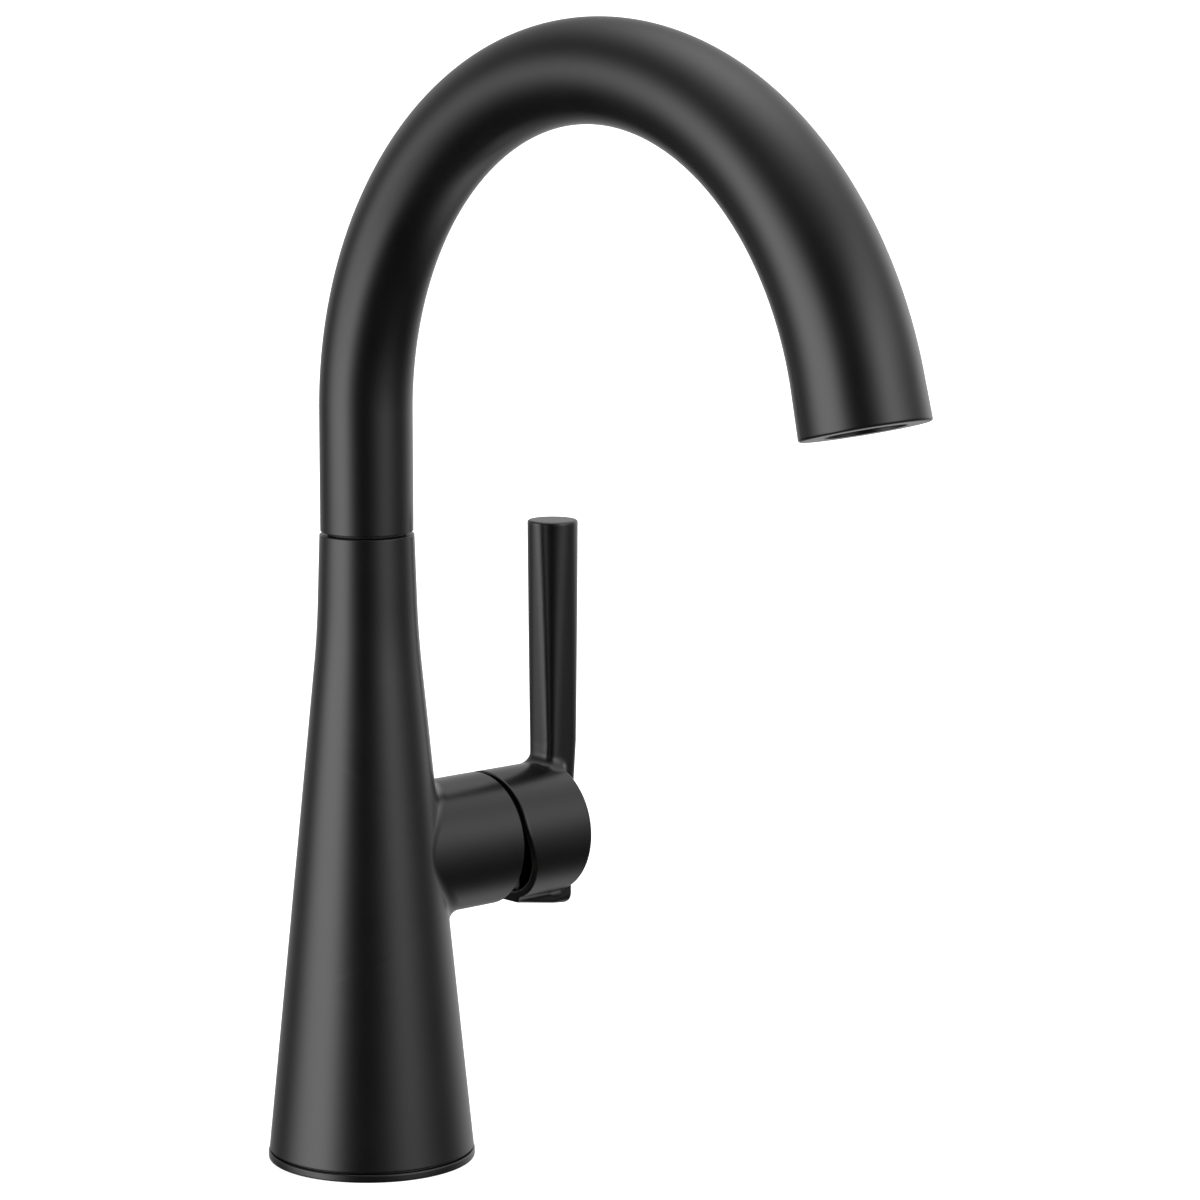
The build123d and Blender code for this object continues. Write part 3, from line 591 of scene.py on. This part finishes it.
# Inlet tubes
# Two drawn copper tubes, soldered into the valve and led down through the shank. Each has a rolled bead
# below the shank and a plain tail for the coupling of a supply hose.


def drawn_copper(place):
    """Drawn copper: fine lines along the tube, and a patchy brown oxide."""
    stretched = place.node("ShaderNodeMapping", {}, {"Vector": place, "Scale": (12.0, 12.0, 1.0)})
    lines = stretched.noise(2 * mm, 2.0)
    oxide = place.noise(7 * mm, 5.0)
    return {
        "Base Color": oxide.tint((0.27, 0.10, 0.05), (0.66, 0.32, 0.20)),
        "Roughness": 0.22 + 0.2 * oxide + 0.06 * lines,
        "Normal": relief(lines, 0.003 * mm),
    }


copper = finish("copper", {"Metallic": 1.0}, drawn_copper)
tube_radius = 4.76 * mm
tube_wall = 0.9 * mm
tube_end_round = 0.3 * mm
bead_radius = 5.5 * mm
bead_height = 1.6 * mm
bead_bottom = shank_bottom - bead_height
bead_round = 0.5 * mm
tube_turns = 72
for node in ("cold_inlet_tube", "hot_inlet_tube"):
    tube_low, tube_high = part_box(node)
    tube_centre = [0, (tube_low.y + tube_high.y) / 2, 0]
    tube_outline = outline(
        [
            (tube_radius, tube_low.z),
            (tube_radius, bead_bottom),
            (bead_radius, bead_bottom),
            (bead_radius, shank_bottom),
            (tube_radius, shank_bottom),
            (tube_radius, tube_high.z),
            (tube_radius - tube_wall, tube_high.z),
            (tube_radius - tube_wall, tube_low.z),
        ],
        [tube_end_round] + [bead_round] * 4 + [tube_end_round] * 3,
    )
    tube_skin = turned(closed(tube_outline), tube_turns) + tube_centre
    add_piece(f"{node}_skin", [woven(tube_skin)], copper, node)

# Valve and ceramic cartridge
# Inside the column a brass valve body takes the two tubes and holds the cartridge: a plastic base, rubber
# port seals, two lapped ceramic discs, a plastic carrier and rotor, and a steel stem on its pin. A brass nut
# under a black cap clamps it in the boss, and a copper tube leads the mixed water up to the spout.


def lapped_ceramic(place):
    """Sintered alumina: off-white with a faint speckle, lapped almost to a mirror."""
    speckle = place.noise(0.3 * mm, 2.0)
    return {
        "Base Color": speckle.tint((0.74, 0.72, 0.66), (0.84, 0.82, 0.77)),
        "Roughness": 0.09 + 0.05 * speckle,
    }


def moulded_white(place):
    """White engineering plastic: slightly uneven and a little shiny, with a fine moulded skin."""
    drift = place.noise(6 * mm, 2.0)
    grain = place.noise(0.15 * mm, 2.0)
    return {
        "Base Color": drift.tint((0.66, 0.65, 0.61), (0.75, 0.74, 0.70)),
        "Roughness": 0.34 + 0.08 * drift,
        "Normal": relief(grain, 0.003 * mm),
    }


def moulded_black(place):
    """Black plastic from a fine-textured mould."""
    grain = place.noise(0.18 * mm, 3.0)
    drift = place.noise(4 * mm, 2.0)
    return {
        "Base Color": drift.tint((0.0035, 0.0035, 0.0036), (0.007, 0.007, 0.0072)),
        "Roughness": 0.46 + 0.08 * drift + 0.04 * grain,
        "Normal": relief(grain, 0.006 * mm),
    }


ceramic = finish("ceramic", {"IOR": 1.7}, lapped_ceramic)
white_plastic = finish("white_plastic", {"IOR": 1.48}, moulded_white)
black_plastic = finish("black_plastic", {"IOR": 1.48}, moulded_black)


def dress(material, *nodes):
    """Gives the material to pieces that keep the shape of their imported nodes."""
    for node in nodes:
        frame["nodes"][node].data.materials.clear()
        frame["nodes"][node].data.materials.append(material)


dress(brass, "valve_body", "bonnet_nut")
dress(copper, "mix_tube")
dress(rubber, "port_seals")
dress(white_plastic, "cartridge_base", "cartridge_housing", "cartridge_rotor", "disc_carrier")
dress(ceramic, "fixed_disc", "moving_disc")
dress(steel, "pivot_pin", "stem")
dress(black_plastic, "bonnet_cap")

# Lever
# One zinc casting in the black coat: a cup-shaped hub over the valve, an upright bar that grows from a
# square with crowned sides to a round tip, and a foot below. It sits on the square stem, and a grub screw in
# the foot clamps it.
lever_low, lever_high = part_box("lever")
screw_low, screw_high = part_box("set_screw")
hub_rim = lever_low.x
hub_end = 59.77 * mm
hub_radius = boss_radius
hub_edge = 0.7 * mm
hub_bore = 14.99 * mm
hub_floor = 53.97 * mm
rim_edge = 0.3 * mm
rim_break = 4.5 * mm
rim_break_round = 15 * mm
rim_relief = radians(18)
rim_break_reach = rim_break_round * tan(rim_relief) / 2
bar_tip = lever_high.z - boss_height
bar_tip_edge = 0.6 * mm
bar_heights = np.array([-16.95, 22.2, 79.7]) * mm
bar_half_widths = np.array([4.07, 5.0, 6.47]) * mm
bar_roundness = np.array([0.25, 0.25, 0.5])
bar_places = np.array([59.8, 61.27, 61.27]) * mm
bar_fillet = 2.6 * mm
foot_end = 64.1 * mm
foot_half_width = 4.3 * mm
foot_corner_round = 0.8 * mm
foot_heel = -17.75 * mm
foot_slope = radians(9.07)
foot_heel_place = hub_rim + (rim_break + hub_radius) * tan(rim_relief)
foot_side_edge = 0.9 * mm
foot_toe_round = 2.8 * mm
foot_toe_start = 58.0 * mm
foot_fillet = 1.3 * mm
stem_socket_radius = 7.5 * mm
stem_socket_front = 44.57 * mm
stem_hole_half = 3.55 * mm
stem_hole_end = 54.82 * mm
web_front = 45.97 * mm
screw_place = (screw_low.x + screw_high.x) / 2
screw_hole_radius = 2.55 * mm
inner_fillet = 0.8 * mm
inner_edge = 0.3 * mm


def both(first, second, edge):
    """Where two distance fields overlap, with the edge between them rounded by an arc of this radius."""
    corner = np.hypot(np.maximum(edge + first, 0), np.maximum(edge + second, 0))
    return np.minimum(-edge, np.maximum(first, second)) + corner


def either(first, second, fillet):
    """Two distance fields joined, with the corner between them filled by an arc of this radius."""
    corner = np.hypot(np.maximum(fillet - first, 0), np.maximum(fillet - second, 0))
    return np.maximum(fillet, np.minimum(first, second)) - corner


def rim_place(z):
    """Where the hub's rim stands along the axis: upright above the break, leaning outwards below it, and
    between them a parabola that follows the arc of the break."""
    below = rim_break - z
    blend = np.clip(below + rim_break_reach, 0, 2 * rim_break_reach) ** 2 / (4 * rim_break_reach)
    return hub_rim + tan(rim_relief) * (blend + np.maximum(below - rim_break_reach, 0))


def bar_distance(x, y, z):
    """Distance to the bar: the offsets from its axis, over the half width, are raised to a power, and where
    their sum is one lies a square with crowned sides. The roundness is one over that power. At the tip it is
    a half, and the square has turned into a circle."""
    half = np.interp(z, bar_heights, bar_half_widths)
    roundness = np.interp(z, bar_heights, bar_roundness)
    beside = np.abs(x - np.interp(z, bar_heights, bar_places)) / half
    across = np.abs(y) / half
    section = half * ((beside ** (1 / roundness) + across ** (1 / roundness)) ** roundness - 1)
    return both(section, z - bar_tip, bar_tip_edge)


def lever_distance(x, y, z):
    """Signed distance to the lever, with z from the boss's axis: hub, bar and foot joined by fillets and cut
    by the sloping underside, then the cup's bore and the relieved rim cut away. A socket for the stem and a
    web below it are added inside, and the holes for the stem and the screw are cut into them."""
    underside = (foot_heel - z) * cos(foot_slope) - (x - foot_heel_place) * sin(foot_slope)
    toe_share = np.clip((x - foot_toe_start) / (foot_end - foot_toe_start), 0, 1)
    lower_edge = foot_side_edge + (foot_toe_round - foot_side_edge) * toe_share
    axis_distance = np.hypot(y, z)
    hub = both(axis_distance - hub_radius, x - hub_end, hub_edge)
    bar = both(bar_distance(x, y, z), underside, lower_edge)
    foot_plan = both(np.abs(y) - foot_half_width, x - foot_end, foot_corner_round)
    foot_sides = either(hub, np.maximum(foot_plan, z), foot_fillet)
    foot = both(foot_sides, underside, lower_edge)
    whole = np.minimum(either(hub, bar, bar_fillet), foot)
    whole = both(whole, np.minimum(hub_bore - axis_distance, hub_floor - x), rim_edge)
    whole = both(whole, rim_place(z) - x, rim_edge)
    socket_ends = np.maximum(stem_socket_front - x, x - hub_end + hub_edge)
    socket = np.maximum(axis_distance - stem_socket_radius, socket_ends)
    web_ends = np.maximum(web_front - x, x - hub_floor - inner_fillet)
    web_height = np.maximum(z, -z - hub_radius + hub_edge)
    web = np.maximum(np.maximum(np.abs(y) - foot_half_width, web_ends), web_height)
    whole = either(whole, either(socket, web, inner_fillet), inner_fillet)
    stem_hole = np.maximum(np.maximum(np.abs(y), np.abs(z)) - stem_hole_half, x - stem_hole_end)
    screw_hole = np.maximum(np.hypot(x - screw_place, y) - screw_hole_radius, z)
    return both(whole, -np.minimum(stem_hole, screw_hole), inner_edge)


def sculpted(distance, low, high, cell, settling=4, probe_share=0.05, least_slope=0.5):
    """Surface where a distance field is zero. The field is taken on a cubic grid. Each cell that the surface
    crosses gets one point, the mean of the crossings on its twelve edges, which then slides down the field's
    slope onto the surface. Each grid edge that the surface crosses joins the points of its four cells by a
    face."""
    axes = [np.arange(first, last, cell) for first, last in zip(low, high)]
    field = distance(*np.meshgrid(*axes, indexing="ij", sparse=True))
    inside = field < 0
    corners = np.stack(np.meshgrid([0, 1], [0, 1], [0, 1], indexing="ij"), axis=-1).reshape(-1, 3)
    size = np.array(inside.shape) - 1
    full = sum(
        inside[i : i + size[0], j : j + size[1], k : k + size[2]].astype(np.int8) for i, j, k in corners
    )
    cells = np.argwhere((full > 0) & (full < len(corners)))
    total = np.zeros((len(cells), 3))
    count = np.zeros((len(cells), 1))
    faces = []
    number = np.full(size, -1)
    number[tuple(cells.T)] = np.arange(len(cells))
    for axis in range(3):
        step = np.eye(3, dtype=int)[axis]
        for corner in corners[corners[:, axis] == 0]:
            near = field[tuple((cells + corner).T)]
            far = field[tuple((cells + corner + step).T)]
            crossed = (near < 0) != (far < 0)
            share = np.where(crossed, near / np.where(crossed, near - far, 1), 0)
            total += crossed[:, None] * (corner + share[:, None] * step)
            count += crossed[:, None]
        changes = np.argwhere(np.diff(inside, axis=axis))
        across, beyond = np.eye(3, dtype=int)[[(axis + 1) % 3, (axis + 2) % 3]]
        ring = [changes - across - beyond, changes - beyond, changes, changes - across]
        faces.append(np.stack([number[tuple(place.T)] for place in ring], axis=1))
    points = np.array(low) + cell * (cells + total / count)
    probe = probe_share * cell
    pushes = probe * np.eye(3)
    for _ in range(settling):
        ahead = np.stack([distance(*(points + push).T) for push in pushes], axis=1)
        behind = np.stack([distance(*(points - push).T) for push in pushes], axis=1)
        slope = (ahead - behind) / (2 * probe)
        steepness = np.maximum((slope**2).sum(axis=1), least_slope**2)
        points = points - slope * (distance(*points.T) / steepness)[:, None]
    return points, np.concatenate(faces)


lever_margin = 1.0 * mm
lever_cell = 0.34 * mm
lever_points, lever_faces = sculpted(
    lever_distance,
    (lever_low.x - lever_margin, lever_low.y - lever_margin, lever_low.z - boss_height - lever_margin),
    (lever_high.x + lever_margin, lever_high.y + lever_margin, bar_tip + lever_margin),
    lever_cell,
)
lever_skin = (lever_points + [0, 0, boss_height], lever_faces)
add_piece("lever_skin", [lever_skin], black_coat, "lever", sharp_angle=60.0)
dress(steel, "set_screw")

# Glide ring
# A thin black plastic washer on the neck, a little smaller than the two pieces that it separates. The spout
# turns on it, and it shows as a dark line.
glide_bore = 8.05 * mm
glide_edge = 0.15 * mm
glide_set_back = 1.1 * mm
glide_skin = woven(flat_ring("glide_ring", glide_bore, glide_edge, glide_set_back))
add_piece("glide_ring_skin", [glide_skin], black_plastic, "glide_ring")

# Spout
# A bent and flared brass tube in the black coat. A plastic bushing in its lower end turns on a brass post
# with rubber O-rings and a steel clip, and its thick outlet end is bored for the aerator.
spout_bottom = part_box("spout_tube")[0].z
spout_radius = 11.55 * mm
spout_wall = 2.0 * mm
bend_start = 188.8 * mm
bend_radius = 86.2 * mm
bend_angle = radians(166)
outlet_straight = 10.5 * mm
outlet_radius = 14.95 * mm
flare_start = 0.2
flare_power = 1.5
spout_edge = 0.15 * mm
outlet_edge = 0.6 * mm
aerator_bore = 9.3 * mm
bore_edge = 0.3 * mm
aerator_depth = 11.5 * mm
shoulder = 2.5 * mm
waterway_radius = 6.5 * mm
riser_length = bend_start - spout_bottom
bend_length = bend_radius * bend_angle
spout_length = riser_length + bend_length + outlet_straight
waterway_end = spout_length - aerator_depth - shoulder
lower_edge_room = 2 * spout_edge
outlet_edge_room = 2 * outlet_edge
outer_steps = 220
inner_steps = 130
rows_at_lower_edge = 3
rows_at_outlet_edge = 2


def flare(along):
    """Outer radius of the spout at a distance along it: plain at first, then opening as a power of the share
    of the way from the start of the flare to the outlet."""
    share = (along - riser_length) / (bend_length + outlet_straight)
    opened = np.clip((share - flare_start) / (1 - flare_start), 0, None)
    return spout_radius + (outlet_radius - spout_radius) * opened**flare_power


def carried(profile, turns=144):
    """Profile (distance along, radius) carried along the spout's centre line as rings: up the riser, round
    the bend about its centre, and straight on along the last direction."""
    along, radius = profile.T
    turn = np.clip((along - riser_length) / bend_radius, 0, bend_angle)
    beyond = along - riser_length - turn * bend_radius
    ahead = np.stack([0 * turn, -np.sin(turn), np.cos(turn)], axis=1)
    outward = np.stack([0 * turn, np.cos(turn), np.sin(turn)], axis=1)
    centre = bend_radius * (outward - [0, 1, 0]) + [0, 0, bend_start] + beyond[:, None] * ahead
    angle = np.linspace(0, 2 * pi, turns + 1)[:, None]
    ring = np.cos(angle) * [1, 0, 0] + np.sin(angle) * outward[:, None]
    return centre[:, None] + radius[:, None, None] * ring


outer_run = np.linspace(lower_edge_room, spout_length - outlet_edge_room, outer_steps)
inner_run = np.linspace(waterway_end, lower_edge_room, inner_steps)
lower_corner = outline(
    [
        (lower_edge_room, spout_radius - spout_wall),
        (0, spout_radius - spout_wall),
        (0, spout_radius),
        (4 * lower_edge_room, spout_radius),
    ],
    spout_edge,
)[points_per_corner : 3 * points_per_corner]
outlet_corner = outline(
    [
        (outer_run[-1] - outlet_edge, float(flare(outer_run[-1] - outlet_edge))),
        (spout_length, outlet_radius),
        (spout_length, aerator_bore),
        (spout_length - aerator_depth, aerator_bore),
        (spout_length - aerator_depth, waterway_radius),
        (waterway_end, waterway_radius),
    ],
    [outlet_edge] * 2 + [bore_edge] * 4,
)[points_per_corner : 5 * points_per_corner]
outer_rows = np.stack([outer_run, flare(outer_run)], axis=1)
spout_profile = np.concatenate(
    [
        lower_corner,
        outer_rows[rows_at_lower_edge:-rows_at_outlet_edge],
        outlet_corner,
        [(waterway_end, waterway_radius)],
        np.stack([inner_run, flare(inner_run) - spout_wall], axis=1),
    ]
)
add_piece("spout_skin", [woven(carried(closed(spout_profile)))], black_coat, "spout_tube")
dress(white_plastic, "spout_bushing")
dress(brass, "spout_post")
dress(rubber, "post_o_rings")
dress(steel, "spout_clip")

# Aerator
# A plastic cartridge screwed into the outlet against a rubber gasket: a black sleeve with notches for its
# key, a grey flow regulator inside, and at the mouth a grey stream former with a close pattern of holes.


def moulded_grey(place):
    """Grey plastic with a soft sheen, a little stained by lime."""
    stain = place.noise(2.5 * mm, 4.0)
    return {
        "Base Color": stain.tint((0.030, 0.030, 0.032), (0.062, 0.062, 0.064)),
        "Roughness": 0.36 + 0.14 * stain,
        "Normal": relief(place.noise(0.1 * mm, 2.0), 0.004 * mm),
    }


grey_plastic = finish("grey_plastic", {"IOR": 1.48}, moulded_grey)
dress(grey_plastic, "flow_regulator", "stream_former")
dress(rubber, "aerator_gasket")
aerator_recess = 1.0 * mm
sleeve_radius = 9.25 * mm
sleeve_bore = 8.0 * mm
sleeve_length = 9.0 * mm
sleeve_edge = 0.2 * mm
key_notches = 8
key_notch_depth = 0.8 * mm
key_notch_share = 0.3
sleeve_turns = 240
sleeve_mouth = spout_length - aerator_recess
sleeve_outline = outline(
    [
        (sleeve_mouth - sleeve_length, sleeve_bore),
        (sleeve_mouth - sleeve_length, sleeve_radius),
        (sleeve_mouth, sleeve_radius),
        (sleeve_mouth, sleeve_bore),
    ],
    sleeve_edge,
)


def notched(rings, mouth_rows):
    """Key notches in the sleeve's mouth: the rows at the mouth step back along the axis wherever the angle
    lies in the notched share at the middle of each of the equal sectors."""
    sector = (np.arange(sleeve_turns + 1) * key_notches / sleeve_turns) % 1
    back = np.array([0, sin(bend_angle), -cos(bend_angle)])
    step = np.where(np.abs(sector - 0.5) < key_notch_share / 2, key_notch_depth, 0)
    rings[mouth_rows] += step[:, None] * back
    return rings


sleeve_rings = carried(closed(sleeve_outline), sleeve_turns)
sleeve_skin = notched(sleeve_rings, slice(2 * points_per_corner, 4 * points_per_corner - 1))
add_piece("aerator_sleeve_skin", [woven(sleeve_skin)], black_plastic, "aerator_sleeve")

# Floor
# A pale floor that stands for the deck, out to the horizon. It glows a little, so that it stays white right
# across the view. The glossy coat doesn't mirror it, and it casts no shadow.
floor_radii = np.array([0.0, 0.3, 3.0, 30.0])
floor_drop = 0.02 * mm
floor_tone = 0.86
floor_glow = 0.72
floor_roughness = 0.9
floor_profile = np.stack([floor_radii, np.full(len(floor_radii), -floor_drop)], axis=1)
floor_points, floor_faces = woven(turned(floor_profile))
floor_mesh = bpy.data.meshes.new("floor")
floor_mesh.from_pydata(floor_points, [], floor_faces)
floor_paint = {
    "Base Color": (floor_tone, floor_tone, floor_tone, 1),
    "Roughness": floor_roughness,
    "Specular IOR Level": 0.0,
    "Emission Color": (1, 1, 1, 1),
    "Emission Strength": floor_glow,
}
floor_mesh.materials.append(finish("floor", floor_paint, lambda place: {}))
floor = bpy.data.objects.new("floor", floor_mesh)
bpy.context.scene.collection.objects.link(floor)
floor.visible_glossy = False
floor.visible_shadow = False

# Light
# A dim studio with large soft lights: a key on the left, a weaker fill on the right, and fainter ones behind
# and overhead that draw the edges. Those that shine from below stand for what a pale deck sends back up. The
# camera's own side stays dark.
camera_azimuth = radians(-42.083)
soft_lights = {
    "key": (-76, 3, 13, 3.5),
    "near key": (-48, 6, 26, 2.6),
    "low key": (-54, -20, 26, 2.6),
    "fill": (46, 20, 14, 2.6),
    "wide fill": (76, 30, 12, 1.4),
    "low fill": (54, -8, 12, 0.45),
    "back right": (136, 10, 9, 1.3),
    "back left": (-140, 8, 16, 0.5),
    "backdrop": (180, -6, 8, 0.7),
    "low back": (150, -63, 16.5, 1.0),
    "overhead": (165, 77, 6.5, 2.4),
}
room = bpy.data.worlds.new("room")
room.use_nodes = True
room_tree = room.node_tree
direction = Field(room_tree, room_tree.nodes.new("ShaderNodeTexCoord").outputs["Generated"])


def towards(turn, rise):
    """Direction from the faucet to a place that is turned from -Y towards +X and risen above the deck."""
    return (sin(turn) * cos(rise), -cos(turn) * cos(rise), sin(rise))


def soft_light(bearing, rise, sharpness, radiance):
    """Round light without an edge: the radiance falls off as the exponential of sharpness x (cosine - 1),
    where the cosine is that of the angle to the middle of the light. Bearing and rise are in degrees, and
    the bearing is to the right of the camera's."""
    middle = towards(camera_azimuth + radians(bearing), radians(rise))
    cosine = direction.node(
        "ShaderNodeVectorMath", {"operation": "DOT_PRODUCT"}, {0: direction, 1: middle}, "Value"
    )
    return radiance * direction.math("EXPONENT", sharpness * (cosine - 1.0), 0.0)


glow = sum(soft_light(*light) for light in soft_lights.values())
seen = direction.node("ShaderNodeLightPath", {}, {}, "Is Camera Ray")
brightness = glow + seen * (1.0 - glow)
room_light = direction.node("ShaderNodeBackground", {}, {"Strength": brightness, "Color": (1, 1, 1, 1)})
room_tree.links.new(room_light.socket, room_tree.nodes["World Output"].inputs["Surface"])
bpy.context.scene.world = room

# Camera
# The photograph's own view: its bearing, its pitch and its focal length in pixels of a square frame, placed
# so that the middle of the base on the deck falls on its pixel.
frame_size = 1200
camera_pitch = radians(9.125)
focal_pixels = 4543.3
camera_distance = 1148.19 * mm
base_pixel = (372.03, 1154.02)
sensor_width = 36.0
view_depth = 100.0
back = Vector(towards(camera_azimuth, camera_pitch))
right = Vector((cos(camera_azimuth), sin(camera_azimuth), 0))
up = back.cross(right)
shift_right = (base_pixel[0] - frame_size / 2) / focal_pixels * camera_distance
shift_up = (frame_size / 2 - base_pixel[1]) / focal_pixels * camera_distance
lens = bpy.data.cameras.new("camera")
lens.sensor_width = sensor_width
lens.lens = focal_pixels / frame_size * sensor_width
lens.clip_end = view_depth
camera = bpy.data.objects.new("camera", lens)
stand = back * camera_distance - right * shift_right - up * shift_up
camera.matrix_world = Matrix.Translation(stand) @ Matrix((right, up, back)).transposed().to_4x4()
bpy.context.scene.collection.objects.link(camera)
bpy.context.scene.camera = camera
bpy.context.scene.view_settings.view_transform = "Standard"
